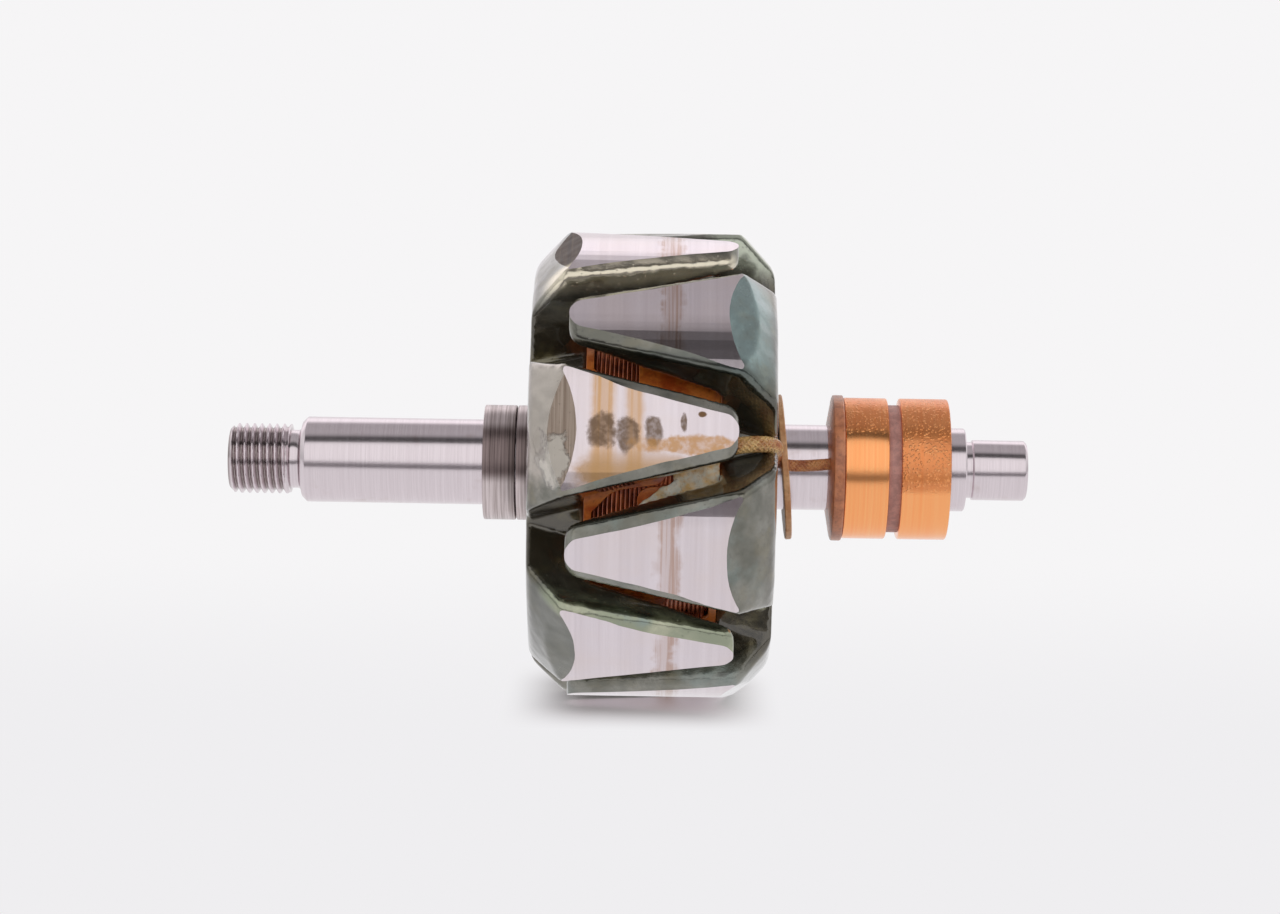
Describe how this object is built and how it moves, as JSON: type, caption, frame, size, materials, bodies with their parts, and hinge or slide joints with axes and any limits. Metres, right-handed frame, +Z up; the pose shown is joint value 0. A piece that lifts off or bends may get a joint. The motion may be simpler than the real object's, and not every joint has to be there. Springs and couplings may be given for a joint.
{
  "type": "alternator rotor",
  "caption": "Claw-pole alternator rotor: two interleaved pole halves over a field coil, on a threaded shaft with slip rings.",
  "frame": {"origin": "on the shaft's axis, at the spacer face that the drive-end bearing seats against", "axes": "+X along the shaft from the pulley thread to the slip rings, +Z up, -Y towards the camera"},
  "size_m": [0.1587, 0.0924, 0.0924],
  "materials": {
    "turned_steel": "satin",
    "varnished_pole_steel": "satin",
    "insulation_paper": "satin",
    "enamelled_copper": "gloss",
    "glass_tape": "satin",
    "lead_wire": "satin",
    "lead_sleeve": "satin",
    "washer_board": "matte",
    "ring_moulding": "satin",
    "slip_ring_copper": "satin"
  },
  "bodies": {
    "root": {"shaft": "turned_steel", "drive_end_spacer": "turned_steel", "stop_ring": "turned_steel", "pole_half_drive_end": "varnished_pole_steel", "pole_half_ring_end": "varnished_pole_steel", "field_core": "varnished_pole_steel", "bobbin_tube": "insulation_paper", "insulation_star_drive_end": "insulation_paper", "insulation_star_ring_end": "insulation_paper", "field_winding": "enamelled_copper", "coil_tape_near": "glass_tape", "coil_tape_far": "glass_tape", "lead_near": "lead_wire", "lead_far": "lead_wire", "lead_sleeve_near": "lead_sleeve", "lead_sleeve_far": "lead_sleeve", "lead_washer": "washer_board", "slip_ring_insulator": "ring_moulding", "slip_ring_inner": "slip_ring_copper", "slip_ring_outer": "slip_ring_copper"}
  },
  "joints": []
}
